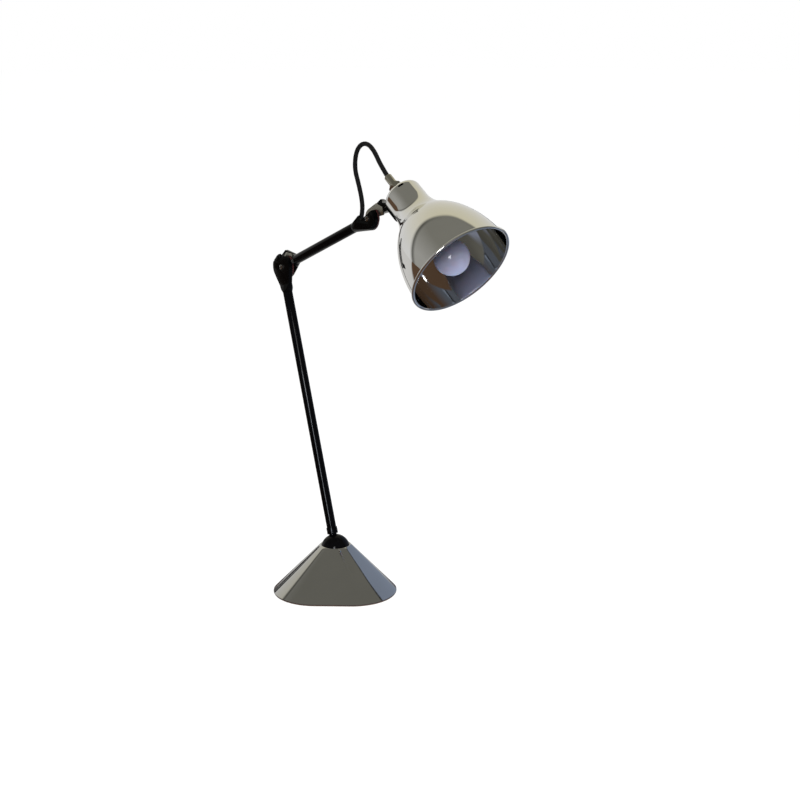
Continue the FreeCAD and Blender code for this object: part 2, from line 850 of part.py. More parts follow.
def cap_nut():
    nut = hexagon(nut_flats, Vector(0, 0, -nut_thickness), nut_thickness)
    corner = nut_flats / math.sqrt(3)
    dome = rod(corner, Vector(0, 0, -nut_thickness), along_z, nut_thickness)
    edges = [edge for edge in dome.Edges if abs(edge.BoundBox.ZMax + nut_thickness) < same_length]
    dome = dome.makeChamfer(nut_chamfer, edges)
    nut = nut.common(dome)
    return on_shade(nut.cut(rod(nipple_radius, Vector(0, 0, -nut_thickness), along_z, nut_thickness)))


def cord_gland():
    body = rod(gland_radius, Vector(0, 0, -gland_length), along_z, gland_length - nut_thickness)
    collar_top = -nut_thickness - gland_collar_height
    body = body.fuse(rod(gland_collar_radius, Vector(0, 0, collar_top), along_z, gland_collar_height))
    edges = [edge for edge in body.Edges if abs(edge.BoundBox.ZMax + gland_length) < same_length]
    body = body.makeFillet(nut_chamfer, edges)
    nipple_room = rod(nipple_radius, Vector(0, 0, -nut_thickness - gland_collar_height), along_z,
                      gland_collar_height)
    body = body.cut(nipple_room)
    return on_shade(body.cut(rod(lead_bore, Vector(0, 0, -gland_length), along_z, gland_length)))


def nipple():
    start = -nut_thickness - gland_collar_height
    length = holder_start + lamp_washer_thickness - start
    return on_shade(ring(nipple_radius, nipple_bore, Vector(0, 0, start), along_z, length))


def lamp_washer():
    washer = ring(lamp_washer_radius, nipple_radius, Vector(0, 0, shade_wall), along_z,
                  lamp_washer_thickness)
    return on_shade(washer)


def head_lead():
    start = lead_recess - gland_length
    length = holder_start + lamp_washer_thickness - start
    return on_shade(rod(lead_radius, Vector(0, 0, start), along_z, length))


bulb_centre = shade_length - bulb_from_mouth
bulb_neck_start = bulb_centre - bulb_radius - bulb_neck_length
bulb_cap_start = bulb_neck_start - bulb_cap_length
holder_end = bulb_neck_start - holder_from_bulb


def lampholder():
    body = rod(holder_cap_radius, Vector(0, 0, holder_start), along_z, holder_cap_length)
    body = body.fuse(rod(holder_radius, Vector(0, 0, holder_start + holder_cap_length), along_z,
                         holder_end - holder_start - holder_cap_length))
    neck_hole = rod(nipple_radius, Vector(0, 0, holder_start), along_z, lamp_washer_thickness)
    well_top = bulb_cap_start - bulb_contact_height
    well = rod(bulb_cap_radius + hole_clearance, Vector(0, 0, well_top), along_z, holder_end)
    hollow = rod(lead_bore, Vector(0, 0, holder_start), along_z, lamp_washer_thickness)
    return on_shade(body.cut(neck_hole).cut(well).cut(hollow).removeSplitter())


def holder_skirt():
    start = Vector(0, 0, holder_end - holder_skirt_length - base_wall)
    return on_shade(ring(holder_skirt_radius, holder_radius, start, along_z, holder_skirt_length))


def bulb_globe():
    # The neck flares into the globe through a tangent concave arc
    blend_across = bulb_neck_radius + bulb_neck_blend
    blend_drop = math.sqrt((bulb_radius + bulb_neck_blend) ** 2 - blend_across ** 2)
    share = bulb_radius / (bulb_radius + bulb_neck_blend)
    half_flare = math.pi - math.atan2(blend_drop, blend_across) / 2
    blend_top = bulb_centre - blend_drop
    touch = Vector(blend_across * share, 0, bulb_centre - blend_drop * share)
    middle = Vector(blend_across + bulb_neck_blend * math.cos(half_flare), 0,
                    blend_top + bulb_neck_blend * math.sin(half_flare))
    neck_foot = Vector(bulb_neck_radius, 0, bulb_neck_start)
    neck_end = Vector(bulb_neck_radius, 0, blend_top)
    pole = Vector(0, 0, bulb_centre + bulb_radius)
    edges = [
        Part.makeLine(Vector(0, 0, bulb_neck_start), neck_foot),
        Part.makeLine(neck_foot, neck_end),
        Part.Arc(neck_end, middle, touch).toShape(),
        Part.Arc(touch, Vector(bulb_radius, 0, bulb_centre), pole).toShape(),
        Part.makeLine(pole, Vector(0, 0, bulb_neck_start)),
    ]
    return on_shade(Part.Face(Part.Wire(edges)).revolve(origin, along_z, 360))


def bulb_cap():
    cap = rod(bulb_cap_radius, Vector(0, 0, bulb_cap_start), along_z, bulb_cap_length)
    contact = rod(bulb_contact_radius, Vector(0, 0, bulb_cap_start - bulb_contact_height), along_z,
                  bulb_contact_height)
    return on_shade(cap.fuse(contact).removeSplitter())


os.makedirs("parts", exist_ok=True)

save("base_shell", base_shell())
save("base_ballast", base_ballast())
save("base_plate", base_plate())
save("base_felt", base_felt())
save("plate_screws", plate_screws())
save("inlet_grommet", inlet_grommet())
save("terminal_block", terminal_block())
save("pressure_spring", pressure_spring())
save("pressure_cup", pressure_cup())
save("ball", ball())

save("collar", collar())
save("collar_set_screw", set_screw())
save("lower_tube", lower_tube())
save("lower_lead", lower_lead())
save("lower_knuckle", lower_knuckle())
save("elbow_washer", under_elbow_chord(on_elbow_pivot(fibre_washer(elbow_radius))))
save("elbow_screw", on_elbow_pivot(pivot_screw()))
save("elbow_nut", on_elbow_pivot(pivot_nut()))
save("elbow_spring_washer", on_elbow_pivot(spring_washer()))

save("upper_elbow_knuckle", at_elbow(far_half()))
save("elbow_friction_plate",
     on_elbow_pivot(friction_plate(elbow_plate_radius, elbow_plate_tip, elbow_plate_shoulder)))
save("upper_tube", upper_tube())
save("upper_lead", upper_lead())
save("upper_head_knuckle", head_near_half())
save("head_washer", at_arm_end(open_above(fibre_washer(head_radius))))
save("head_screw", at_head(pivot_screw()))
save("head_nut", at_head(pivot_nut()))
save("head_spring_washer", at_head(spring_washer()))
save("cord_outlet", cord_outlet())
save("cord_loop", cord_loop())

save("head_bracket", head_bracket())
save("head_friction_plate",
     at_head(friction_plate(head_plate_radius, head_plate_tip, head_plate_shoulder)))
save("saddle_screws", saddle_screws())
save("shade", shade())
save("cap_nut", cap_nut())
save("cord_gland", cord_gland())
save("nipple", nipple())
save("lamp_washer", lamp_washer())
save("head_lead", head_lead())
save("lampholder", lampholder())
save("holder_skirt", holder_skirt())
save("bulb_globe", bulb_globe())
save("bulb_cap", bulb_cap())
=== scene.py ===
import json
import math

import bmesh
import bpy
from mathutils import Matrix, Vector


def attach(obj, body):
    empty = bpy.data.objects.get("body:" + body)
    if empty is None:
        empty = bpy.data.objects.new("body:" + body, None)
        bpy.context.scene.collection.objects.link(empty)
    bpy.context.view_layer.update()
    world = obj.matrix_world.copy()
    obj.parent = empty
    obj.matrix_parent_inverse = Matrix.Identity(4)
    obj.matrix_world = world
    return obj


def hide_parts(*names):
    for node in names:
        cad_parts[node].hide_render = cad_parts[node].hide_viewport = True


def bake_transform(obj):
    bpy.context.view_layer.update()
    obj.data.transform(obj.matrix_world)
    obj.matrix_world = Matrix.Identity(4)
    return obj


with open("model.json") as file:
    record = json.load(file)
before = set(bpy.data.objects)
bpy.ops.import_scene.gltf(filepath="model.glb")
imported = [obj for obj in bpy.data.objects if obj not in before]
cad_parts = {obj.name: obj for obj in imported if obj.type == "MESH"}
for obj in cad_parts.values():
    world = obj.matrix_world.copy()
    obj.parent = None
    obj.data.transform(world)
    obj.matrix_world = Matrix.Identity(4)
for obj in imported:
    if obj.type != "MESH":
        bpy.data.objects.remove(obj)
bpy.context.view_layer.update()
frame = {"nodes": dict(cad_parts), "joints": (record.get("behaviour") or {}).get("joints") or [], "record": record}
scene = bpy.context.scene
nodes = frame["nodes"]
joints = {joint["name"]: joint for joint in frame["joints"]}
bodies = frame["record"]["behaviour"]["bodies"]
bodyOf = {node: body for body, members in bodies.items() for node in members}
ballCentre = Vector(joints["ball_lean"]["pos_m"])
elbowPivot = Vector(joints["elbow"]["pos_m"])
headPivot = Vector(joints["head_tilt"]["pos_m"])

mm = 0.001


# Node trees
class Signal:
    # a node's output, so that shader maths reads as an expression
    def __init__(self, tree, socket):
        self.tree = tree
        self.socket = socket

    def maths(self, operation, other=None, swapped=False):
        terms = [self] if other is None else [other, self] if swapped else [self, other]
        return self.tree.node("ShaderNodeMath", {"operation": operation}, dict(enumerate(terms)))

    def __add__(self, other):
        return self.maths("ADD", other)

    def __sub__(self, other):
        return self.maths("SUBTRACT", other)

    def __rsub__(self, other):
        return self.maths("SUBTRACT", other, swapped=True)

    def __mul__(self, other):
        return self.maths("MULTIPLY", other)

    def __truediv__(self, other):
        return self.maths("DIVIDE", other)

    __radd__ = __add__
    __rmul__ = __mul__


class Tree:
    # a node tree with one way to add a node: its type, its settings, its sockets
    def __init__(self, tree):
        self.tree = tree

    def node(self, kind, settings=None, sockets=None, output=0):
        made = self.tree.nodes.new(kind)
        for key, value in (settings or {}).items():
            setattr(made, key, value)
        for key, value in (sockets or {}).items():
            self.feed(made.inputs[key], value)
        return Signal(self, made.outputs[output]) if made.outputs else None

    def feed(self, socket, value):
        if isinstance(value, Signal):
            self.tree.links.new(value.socket, socket)
        else:
            socket.default_value = value

    def other(self, signal, output):
        return Signal(self, signal.socket.node.outputs[output])

    def grade(self, signal, low, high, fromLow=0.3, fromHigh=0.7):
        ranges = {"Value": signal, "From Min": fromLow, "From Max": fromHigh, "To Min": low, "To Max": high}
        return self.node("ShaderNodeMapRange", {"clamp": True}, ranges)

    def mix(self, share, first, second):
        sockets = {0: share, 6: (*first, 1) if isinstance(first, tuple) else first,
                   7: (*second, 1) if isinstance(second, tuple) else second}
        return self.node("ShaderNodeMix", {"data_type": "RGBA"}, sockets, output=2)


class Finish(Tree):
    # one material around its Principled shader
    def __init__(self, name, **fixed):
        self.material = bpy.data.materials.new(name)
        self.material.use_nodes = True
        super().__init__(self.material.node_tree)
        self.shader = self.tree.nodes["Principled BSDF"]
        for key, value in fixed.items():
            self.shader.inputs[key.replace("_", " ")].default_value = value
        self.place = self.node("ShaderNodeTexCoord", output="Object")

    def vary(self, **sockets):
        for key, value in sockets.items():
            self.feed(self.shader.inputs[key.replace("_", " ")], value)
        return self

    def noise(self, size, detail=3.0, stretch=(1, 1, 1)):
        # size is the width of a blotch in metres
        place = self.node("ShaderNodeMapping", {}, {"Vector": self.place, "Scale": stretch})
        return self.node("ShaderNodeTexNoise", {}, {"Vector": place, "Scale": 1 / size, "Detail": detail})

    def bump(self, height, depth):
        # depth in metres
        sockets = {"Height": height, "Distance": depth, "Strength": 1.0}
        return self.node("ShaderNodeBump", {}, sockets)


# Finishes
def mirrorChrome(name, tint, haze, belly=0.0):
    # belly shades the sides as if they leaned out a little towards the top
    finish = Finish(name, Metallic=1.0)
    smear = finish.noise(0.05, 4)
    grain = finish.noise(0.0015, 2)
    colour = finish.mix(finish.grade(smear, 0, 1), tint, tuple(part * 0.94 for part in tint))
    roughness = finish.grade(smear, haze, haze + 0.03) + grain * 0.012
    depth = 0.4e-6
    rise = finish.node("ShaderNodeSeparateXYZ", {}, {"Vector": finish.place}, output="Z")
    height = grain + rise * (belly / depth)
    return finish.vary(Base_Color=colour, Roughness=roughness, Normal=finish.bump(height, depth)).material


def blackLacquer(name, tint, gloss):
    finish = Finish(name, IOR=1.5, Specular_IOR_Level=0.05, Coat_Roughness=0.04)
    patches = finish.noise(0.02, 4)
    peel = finish.noise(0.0009, 2)
    colour = finish.mix(finish.grade(patches, 0, 1), tint, tuple(part * 1.7 for part in tint))
    roughness = finish.grade(patches, gloss, gloss + 0.06)
    coat = finish.grade(patches, 0.1, 0.06)
    bump = finish.bump(peel, 0.3e-6)
    return finish.vary(Base_Color=colour, Roughness=roughness, Coat_Weight=coat, Normal=bump).material


def brushedPlate(name, tint, along):
    finish = Finish(name, Metallic=1.0)
    lines = finish.noise(0.0004, 3, along)
    stain = finish.noise(0.006, 3)
    colour = finish.mix(finish.grade(stain, 0, 0.5), tint, tuple(part * 0.6 for part in tint))
    roughness = finish.grade(lines, 0.16, 0.34)
    return finish.vary(Base_Color=colour, Roughness=roughness, Normal=finish.bump(lines, 6e-6)).material


def platedMetal(name, tint, gloss):
    finish = Finish(name, Metallic=1.0)
    stain = finish.noise(0.005, 4)
    grain = finish.noise(0.0006, 2)
    colour = finish.mix(finish.grade(stain, 0, 1), tint, tuple(part * 0.82 for part in tint))
    roughness = finish.grade(stain, gloss, gloss + 0.14)
    return finish.vary(Base_Color=colour, Roughness=roughness, Normal=finish.bump(grain, 2e-6)).material


def pressedFibre(name, light, dark):
    finish = Finish(name)
    fibres = finish.noise(0.0006, 5, (1, 4, 1))
    blotch = finish.noise(0.004, 3)
    colour = finish.mix(finish.grade(fibres * 0.6 + blotch * 0.4, 0, 1), light, dark)
    roughness = finish.grade(fibres, 0.5, 0.8)
    return finish.vary(Base_Color=colour, Roughness=roughness, Normal=finish.bump(fibres, 40e-6)).material


def mouldedPlastic(name, tint, gloss):
    finish = Finish(name)
    cloud = finish.noise(0.008, 3)
    pits = finish.noise(0.0005, 2)
    colour = finish.mix(finish.grade(cloud, 0, 1), tint, tuple(part * 0.8 for part in tint))
    roughness = finish.grade(cloud, gloss, gloss + 0.15)
    return finish.vary(Base_Color=colour, Roughness=roughness, Normal=finish.bump(pits, 8e-6)).material


def castIron(name, tint):
    finish = Finish(name, Metallic=0.6)
    sand = finish.noise(0.0012, 5)
    rust = finish.noise(0.012, 4)
    colour = finish.mix(finish.grade(rust, 0, 1, 0.5, 0.8), tint, (0.12, 0.06, 0.035))
    roughness = finish.grade(sand, 0.6, 0.85)
    return finish.vary(Base_Color=colour, Roughness=roughness, Normal=finish.bump(sand, 250e-6)).material


def feltPad(name, light, dark):
    finish = Finish(name, Roughness=0.95, Sheen_Weight=0.4)
    tufts = finish.noise(0.0012, 6)
    hairs = finish.noise(0.0003, 4, (1, 3, 1))
    colour = finish.mix(finish.grade(tufts * 0.5 + hairs * 0.5, 0, 1), light, dark)
    return finish.vary(Base_Color=colour, Normal=finish.bump(tufts, 200e-6)).material


def textileBraid(name, tint):
    finish = Finish(name, Specular_IOR_Level=0.25, Sheen_Weight=0.02)
    threads = finish.noise(0.0002, 3)
    wear = finish.noise(0.006, 3)
    colour = finish.mix(finish.grade(threads, 0, 1), tint, tuple(part * 2.4 for part in tint))
    roughness = finish.grade(wear, 0.62, 0.8)
    return finish.vary(Base_Color=colour, Roughness=roughness, Normal=finish.bump(threads, 30e-6)).material


def frostedGlobe(name, light, dark):
    finish = Finish(name, IOR=1.5, Coat_Weight=1.0, Coat_Roughness=0.05, Subsurface_Weight=0.25,
                    Subsurface_Scale=0.01)
    etch = finish.noise(0.0004, 2)
    cloud = finish.noise(0.02, 3)
    colour = finish.mix(finish.grade(cloud, 0, 1), light, dark)
    roughness = finish.grade(cloud, 0.3, 0.42)
    return finish.vary(Base_Color=colour, Roughness=roughness, Normal=finish.bump(etch, 4e-6)).material


finishes = {
    # the base's chrome is a darker copy of the shade's: its lower tint is painted shade that dims everything the
    # base mirrors
    "polished_chrome": mirrorChrome("polishedChrome", (0.52, 0.52, 0.515), 0.05, 0.07),
    "shade_chrome": mirrorChrome("shadeChrome", (0.80, 0.80, 0.79), 0.03),
    "ball_black": blackLacquer("ballBlack", (0.0012, 0.0012, 0.0013), 0.06),
    "arm_black": blackLacquer("armBlack", (0.001, 0.001, 0.0012), 0.05),
    "knuckle_black": blackLacquer("knuckleBlack", (0.0012, 0.0012, 0.0013), 0.16),
    "bright_plate": brushedPlate("brightPlate", (0.46, 0.45, 0.4), (1, 8, 1)),
    "nickel": platedMetal("warmNickel", (0.5, 0.48, 0.41), 0.04),
    "screw_steel": platedMetal("screwSteel", (0.32, 0.32, 0.315), 0.14),
    "set_screw_steel": platedMetal("blackenedSteel", (0.08, 0.08, 0.085), 0.3),
    "plate_screw_steel": platedMetal("zincScrew", (0.6, 0.6, 0.58), 0.25),
    "spring_steel": platedMetal("springSteel", (0.5, 0.5, 0.5), 0.25),
    "brass_thread": platedMetal("brassThread", (0.72, 0.54, 0.27), 0.22),
    "bulb_brass": platedMetal("bulbBrass", (0.75, 0.6, 0.33), 0.2),
    "base_steel": blackLacquer("plateBlack", (0.02, 0.02, 0.02), 0.4),
    "ballast_iron": castIron("castIron", (0.1, 0.095, 0.09)),
    "base_felt": feltPad("brownFelt", (0.3, 0.17, 0.1), (0.16, 0.09, 0.055)),
    "black_rubber": mouldedPlastic("blackRubber", (0.02, 0.02, 0.02), 0.6),
    "terminal_plastic": mouldedPlastic("terminalPlastic", (0.78, 0.75, 0.68), 0.35),
    "cup_plastic": mouldedPlastic("cupPlastic", (0.72, 0.7, 0.65), 0.4),
    "holder_black": mouldedPlastic("holderBlack", (0.02, 0.02, 0.02), 0.25),
    "lead_black": mouldedPlastic("leadSheath", (0.025, 0.025, 0.025), 0.45),
    "fibre": pressedFibre("redFibre", (0.06, 0.012, 0.011), (0.035, 0.007, 0.007)),
    "cord_textile": textileBraid("blackBraid", (0.004, 0.004, 0.0043)),
    "frosted_glass": frostedGlobe("frostedGlobe", (0.29, 0.288, 0.385), (0.255, 0.253, 0.345)),
}
print("finishes:", len(finishes))


# Mesh helpers
meshForm = {"merge": 0.1e-6, "cadMerge": 1e-6, "crease": math.radians(32), "flat": math.radians(0.6),
            "sharp": math.radians(34), "onAxis": 0.1e-6}


def smoothFaces(work):
    for face in work.faces:
        face.smooth = True
    for edge in work.edges:
        if len(edge.link_faces) == 2 and edge.calc_face_angle(0) > meshForm["crease"]:
            edge.smooth = False


def keepPiece(name, mesh, slot, *stoodFor):
    piece = bpy.data.objects.new(name, mesh)
    scene.collection.objects.link(piece)
    mesh.materials.clear()
    mesh.materials.append(finishes[slot])
    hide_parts(*stoodFor)
    return piece


def meshFrom(work, name, place=Matrix()):
    bmesh.ops.remove_doubles(work, verts=work.verts, dist=meshForm["merge"])
    bmesh.ops.recalc_face_normals(work, faces=work.faces)
    smoothFaces(work)
    mesh = bpy.data.meshes.new(name)
    work.to_mesh(mesh)
    work.free()
    mesh.transform(place)
    return mesh


def bridge(work, lower, upper):
    # faces between two rings, either of which may be a single point
    count = max(len(lower), len(upper))
    for number in range(count):
        following = (number + 1) % count
        corners = [lower[number % len(lower)], lower[following % len(lower)],
                   upper[following % len(upper)], upper[number % len(upper)]]
        work.faces.new(list(dict.fromkeys(corners)))


def lathe(name, profile, place, segments):
    # profile is a closed outline of (radius, height) round the local Z axis
    work = bmesh.new()
    turns = [2 * math.pi * step / segments for step in range(segments)]
    rings = []
    for radius, height in profile:
        ring = [(radius * math.cos(turn), radius * math.sin(turn), height) for turn in turns]
        if radius < meshForm["onAxis"]:
            ring = [(0, 0, height)]
        rings.append([work.verts.new(corner) for corner in ring])
    for lower, upper in zip(rings, rings[1:] + rings[:1]):
        if len(lower) + len(upper) > 2:
            bridge(work, lower, upper)
    return meshFrom(work, name, place)


def eased(outline, radius, steps=4):
    # rounds the corners of an outline of (across, along) points
    most = 0.45  # of a side, so that two corners never meet
    points = [Vector(point) for point in outline]
    made = []
    for number, here in enumerate(points):
        before = points[number - 1]
        after = points[(number + 1) % len(points)]
        reach = min(radius, (before - here).length * most, (after - here).length * most)
        start = here + (before - here).normalized() * reach
        end = here + (after - here).normalized() * reach
        for step in range(steps + 1):
            share = step / steps
            made.append(tuple((1 - share) ** 2 * start + 2 * share * (1 - share) * here + share ** 2 * end))
    return made


def axisFrame(place, direction):
    # local Z along the direction
    return Matrix.Translation(place) @ direction.to_track_quat("Z", "Y").to_matrix().to_4x4()


def addLip(work, form):
    # a prism that stands on a casting, its outline given as (x, z) from a pivot
    added = bmesh.new()
    rings = []
    for depth in form["depths"]:
        rings.append([added.verts.new(form["pivot"] + Vector((x, depth, z))) for x, z in form["outline"]])
    bridge(added, rings[0], rings[1])
    for ring in rings:
        added.faces.new(ring)
    bmesh.ops.bevel(added, geom=added.edges[:], offset=form["edge"], segments=3, profile=0.5,
                    affect="EDGES")
    mesh = meshFrom(added, "lip")
    work.from_mesh(mesh)
    bpy.data.meshes.remove(mesh)


lipForm = {
    "lower_knuckle": {"pivot": elbowPivot, "depths": (-4.0 * mm, 0.0), "edge": 0.7 * mm,
                      "outline": [(-0.0160, 0.0050), (-0.0159, 0.0087), (-0.0092, 0.0150),
                                  (-0.0062, 0.0175), (-0.0030, 0.0184), (-0.0016, 0.0100)]},
}
nudged = {"elbow_washer": Vector((0, -0.03 * mm, 0))}  # off the friction plate that turns on it


def dressNode(node, slot, edge):
    # a merged, smoothed copy of a CAD node with its sharp edges eased
    work = bmesh.new()
    work.from_mesh(nodes[node].data)
    bmesh.ops.remove_doubles(work, verts=work.verts, dist=meshForm["cadMerge"])
    bmesh.ops.dissolve_limit(work, angle_limit=meshForm["flat"], verts=work.verts, edges=work.edges)
    if edge:
        inner = [line for line in work.edges if len(line.link_faces) == 2]
        sharp = [line for line in inner if line.calc_face_angle(0) > meshForm["sharp"]]
        bmesh.ops.bevel(work, geom=sharp, offset=edge, segments=2, profile=0.6, affect="EDGES",
                        clamp_overlap=True)
    if node in lipForm:
        addLip(work, lipForm[node])
    place = Matrix.Translation(nudged.get(node, Vector()))
    piece = keepPiece("dressed_" + node, meshFrom(work, node, place), slot, node)
    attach(piece, bodyOf[node])


def settled(piece):
    # the piece with its modifiers worked into a plain mesh, and then removed
    depsgraph = bpy.context.evaluated_depsgraph_get()
    mesh = bpy.data.meshes.new_from_object(piece.evaluated_get(depsgraph))
    piece.modifiers.clear()
    return mesh


def nodeGroup(name, inputs):
    # an empty geometry tree with a Geometry input and named inputs for its sizes
    group = bpy.data.node_groups.new(name, "GeometryNodeTree")
    group.interface.new_socket("Geometry", in_out="INPUT", socket_type="NodeSocketGeometry")
    group.interface.new_socket("Geometry", in_out="OUTPUT", socket_type="NodeSocketGeometry")
    for label, kind in inputs.items():
        group.interface.new_socket(label, in_out="INPUT", socket_type="NodeSocket" + kind)
    tree = Tree(group)
    start = tree.node("NodeGroupInput")
    given = {item.name: tree.other(start, item.name) for item in group.interface.items_tree
             if item.in_out == "INPUT"}
    return tree, given


def endGroup(tree, geometry, material):
    whole = tree.node("GeometryNodeRealizeInstances", {}, {"Geometry": geometry})
    painted = tree.node("GeometryNodeSetMaterial", {}, {"Geometry": whole, "Material": material})
    tree.node("NodeGroupOutput", {}, {"Geometry": painted})


def runTree(piece, tree, values):
    # sets the tree's inputs by identifier and gives the mesh that it makes
    modifier = piece.modifiers.new(tree.tree.name, "NODES")
    modifier.node_group = tree.tree
    for item in tree.tree.interface.items_tree:
        if item.in_out == "INPUT" and item.name in values:
            modifier[item.identifier] = values[item.name]
    mesh = settled(piece)
    for face in mesh.polygons:
        face.use_smooth = True
    return mesh


# Camera at the photograph's angle
cameraView = {"azimuth": 48.49, "elevation": 13.67, "distance": 2.0, "target": (0.06058, 0.06844, 0.2741),
              "lens": 65.124, "sensor": 36.0}


def placeCamera():
    azimuth = math.radians(cameraView["azimuth"])
    elevation = math.radians(cameraView["elevation"])
    back = Vector((math.sin(azimuth) * math.cos(elevation), -math.cos(azimuth) * math.cos(elevation),
                   math.sin(elevation)))
    camera = bpy.data.objects.new("camera", bpy.data.cameras.new("camera"))
    camera.data.lens = cameraView["lens"]
    camera.data.sensor_width = cameraView["sensor"]
    camera.location = Vector(cameraView["target"]) + back * cameraView["distance"]
    camera.rotation_mode = "QUATERNION"
    camera.rotation_quaternion = (-back).to_track_quat("-Z", "Y")
    scene.collection.objects.link(camera)
    scene.camera = camera


placeCamera()
scene.view_settings.view_transform = "Standard"
print("camera placed")


# The shade's place, from the head pivot, with its local Z axis from the neck to the mouth
shadePlace = {"forward": 57.0 * mm, "above": 37.8 * mm, "tilt": math.radians(37.31)}
neckTop = headPivot + Vector((shadePlace["forward"], 0, shadePlace["above"]))
shadeFrame = Matrix.Translation(neckTop) @ Matrix.Rotation(math.pi / 2 + shadePlace["tilt"], 4, "Y")
shadeAxis = shadeFrame.to_3x3() @ Vector((0, 0, 1))


# Cord loop, from the outlet on the upper arm to the gland on the shade
cordForm = {"diameter": 6.2 * mm, "length": 174.9 * mm, "glandLength": 30.0 * mm, "rise": 19.9 * mm,
            "sway": 2.7 * mm, "strands": 16, "pitch": 24.0 * mm, "strandRadius": 0.42 * mm,
            "lift": 0.1 * mm, "step": 0.7 * mm, "strandSides": 6, "coreSides": 24, "lineSteps": 24,
            "bendStart": (-21.0 * mm, 0, -2.0 * mm), "bendEnd": (-26.0 * mm, 0, 46.0 * mm)}
cordRoute = [  # in metres from the head pivot
    (-0.0246, 0.0030, -0.0056),
    (-0.0206, 0.0030, 0.0065),
    (-0.0210, 0.0026, 0.0220),
    (-0.0264, 0.0016, 0.0420),
    (-0.0336, 0.0008, 0.0620),
    (-0.0302, 0.0003, 0.0830),
    (-0.0194, 0.0000, 0.0946),
    (-0.0050, 0.0000, 0.0956),
    (0.0076, 0.0000, 0.0862),
]


def cordLine():
    glandTop = neckTop - shadeAxis * cordForm["glandLength"]
    across = Vector((-shadeAxis.z, 0, shadeAxis.x))
    points = [headPivot + Vector(place) for place in cordRoute]
    points.append(glandTop - shadeAxis * cordForm["rise"] + across * cordForm["sway"])
    points.append(glandTop)
    curve = bpy.data.curves.new("cordLine", "CURVE")
    curve.dimensions = "3D"
    curve.resolution_u = cordForm["lineSteps"]
    spline = curve.splines.new("NURBS")
    spline.points.add(len(points) - 1)
    for point, place in zip(spline.points, points):
        point.co = (*place, 1)
    spline.order_u = 3
    spline.use_endpoint_u = True
    line = bpy.data.objects.new("cordLine", curve)
    scene.collection.objects.link(line)
    return line


def braidTree():
    # crossing helices round a core, each strand passing over and under the others in turn
    inputs = {"Strands": "Int", "Pitch": "Float", "Radius": "Float", "Strand Radius": "Float",
              "Lift": "Float", "Step": "Float", "Finish": "Material"}
    tree, given = nodeGroup("cordBraid", inputs)
    line = tree.node("GeometryNodeResampleCurve", {"mode": "LENGTH"},
                     {"Curve": given["Geometry"], "Length": given["Step"]})
    along = tree.node("GeometryNodeSplineParameter", output="Length") * (2 * math.pi) / given["Pitch"]
    normal = tree.node("GeometryNodeInputNormal")
    tangent = tree.node("GeometryNodeInputTangent")
    side = tree.node("ShaderNodeVectorMath", {"operation": "CROSS_PRODUCT"}, {0: tangent, 1: normal})
    wave = (along * given["Strands"]).maths("COSINE") * given["Lift"]
    thread = tree.node("GeometryNodeCurvePrimitiveCircle", {"mode": "RADIUS"},
                       {"Resolution": cordForm["strandSides"], "Radius": given["Strand Radius"]})
    joined = tree.node("GeometryNodeJoinGeometry")
    for hand in (1, -1):
        copies = tree.node("GeometryNodeDuplicateElements", {"domain": "SPLINE"},
                           {"Geometry": line, "Amount": given["Strands"]})
        number = tree.other(copies, "Duplicate Index")
        turn = number * (2 * math.pi) / given["Strands"] + along * hand
        reach = given["Radius"] + wave * hand
        first = tree.node("ShaderNodeVectorMath", {"operation": "SCALE"},
                          {0: normal, "Scale": turn.maths("COSINE") * reach})
        second = tree.node("ShaderNodeVectorMath", {"operation": "SCALE"},
                           {0: side, "Scale": turn.maths("SINE") * reach})
        offset = tree.node("ShaderNodeVectorMath", {"operation": "ADD"}, {0: first, 1: second})
        wound = tree.node("GeometryNodeSetPosition", {}, {"Geometry": copies, "Offset": offset})
        strand = tree.node("GeometryNodeCurveToMesh", {},
                           {"Curve": wound, "Profile Curve": thread, "Fill Caps": True})
        tree.tree.links.new(strand.socket, joined.socket.node.inputs[0])
    core = tree.node("GeometryNodeCurvePrimitiveCircle", {"mode": "RADIUS"},
                     {"Resolution": cordForm["coreSides"], "Radius": given["Radius"]})
    tube = tree.node("GeometryNodeCurveToMesh", {},
                     {"Curve": line, "Profile Curve": core, "Fill Caps": True})
    tree.tree.links.new(tube.socket, joined.socket.node.inputs[0])
    endGroup(tree, joined, given["Finish"])
    return tree


def makeCord():
    line = cordLine()
    path = [vertex.co.copy() for vertex in settled(line).vertices]
    radius = cordForm["diameter"] / 2 - cordForm["strandRadius"] - cordForm["lift"]
    values = {"Strands": cordForm["strands"], "Pitch": cordForm["pitch"], "Radius": radius,
              "Strand Radius": cordForm["strandRadius"], "Lift": cordForm["lift"], "Step": cordForm["step"],
              "Finish": finishes["cord_textile"]}
    mesh = runTree(line, braidTree(), values)
    bpy.data.objects.remove(line)
    cord = keepPiece("cord_braid", mesh, "cord_textile", "cord_loop")
    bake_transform(cord)


makeCord()
print("cord wound")


# Bell shade
shadeForm = {"neckRadius": 25.0 * mm, "neckEdge": 8.0 * mm, "length": 141.5 * mm, "wall": 1.0 * mm,
             "mouthRadius": 67.8 * mm, "bellPastMouth": 5.6 * mm, "bellLength": 108.0 * mm,
             "neckFillet": 45.0 * mm, "bead": 1.8 * mm, "beadPastWall": 1.3 * mm, "hole": 5.3 * mm,
             "segments": 192, "neckSteps": 14, "bellSteps": 72, "beadSteps": 24,
             "beadEnd": math.radians(150.0)}


def bellPoint(turn, lift=0.0):
    # a point on the bell's ellipse, moved out by lift along its normal
    reach = shadeForm["mouthRadius"]
    length = shadeForm["bellLength"]
    centre = shadeForm["length"] + shadeForm["bellPastMouth"]
    normal = Vector((length * math.sin(turn), -reach * math.cos(turn))).normalized()
    return Vector((reach * math.sin(turn), centre - length * math.cos(turn))) + normal * lift


